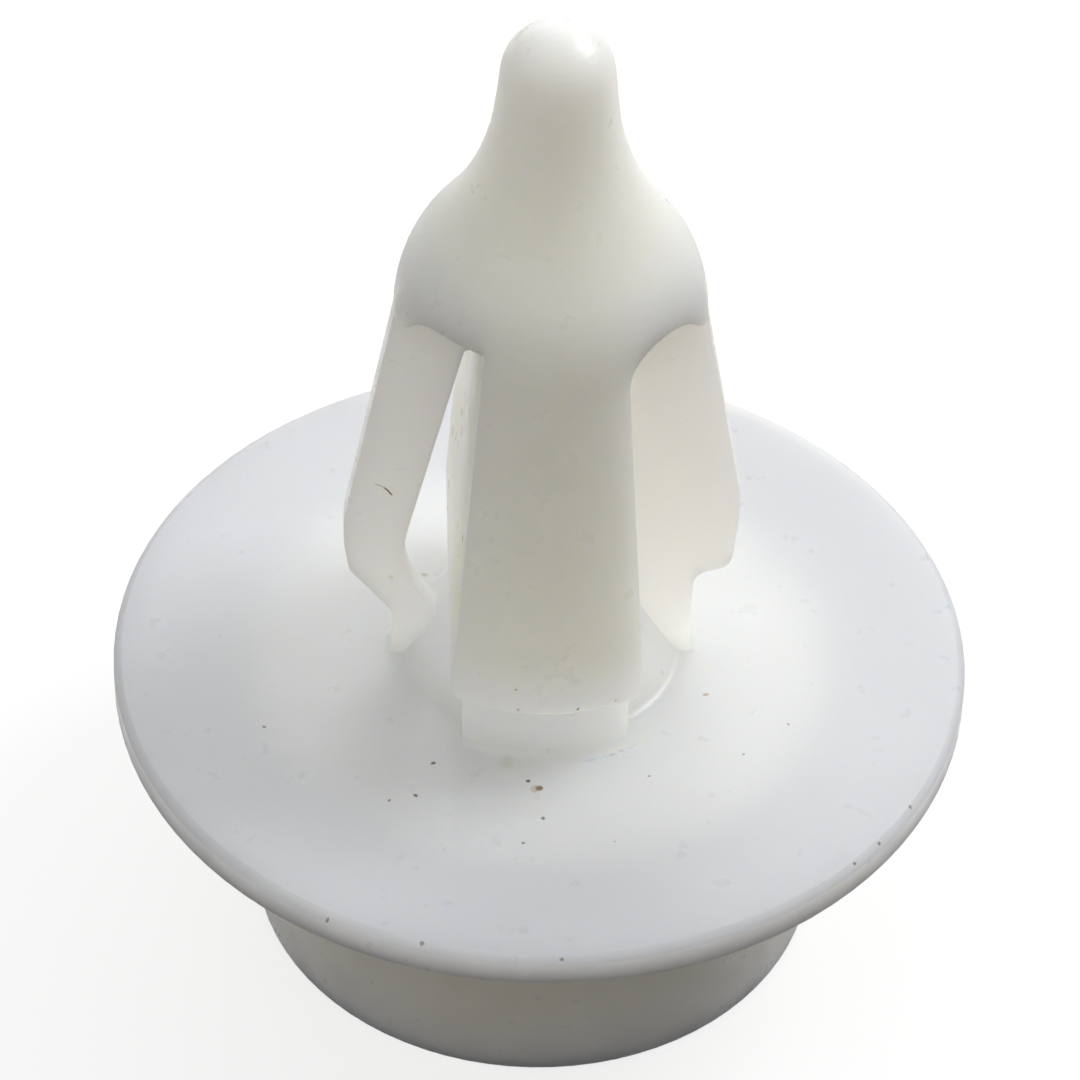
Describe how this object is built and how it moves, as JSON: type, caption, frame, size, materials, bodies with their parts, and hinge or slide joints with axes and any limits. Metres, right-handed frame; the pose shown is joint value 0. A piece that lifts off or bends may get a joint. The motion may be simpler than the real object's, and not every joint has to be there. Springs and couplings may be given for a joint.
{
  "type": "plastic rivet pin fastener",
  "caption": "Push-in panel fastener moulded in one piece in milky nylon: hollow drum head, thin round flange, ribbed neck and a snap shank with a spring arm and a pilot nose.",
  "frame": {"origin": "on the axis, in the plane of the head's foot ring, which the part stands on", "axes": "+Z along the axis from the head to the pilot nose; the spring arm lies on the -X side, the fixed wing on the +X side, and the guide faces look along -Y and +Y"},
  "size_m": [0.02, 0.02, 0.0254],
  "materials": {
    "nylon": "natural unpigmented nylon, milky and slightly translucent, satin moulded skin with a few dark specks of dust"
  },
  "bodies": {
    "root": {"rivet_pin": "nylon"}
  },
  "joints": []
}
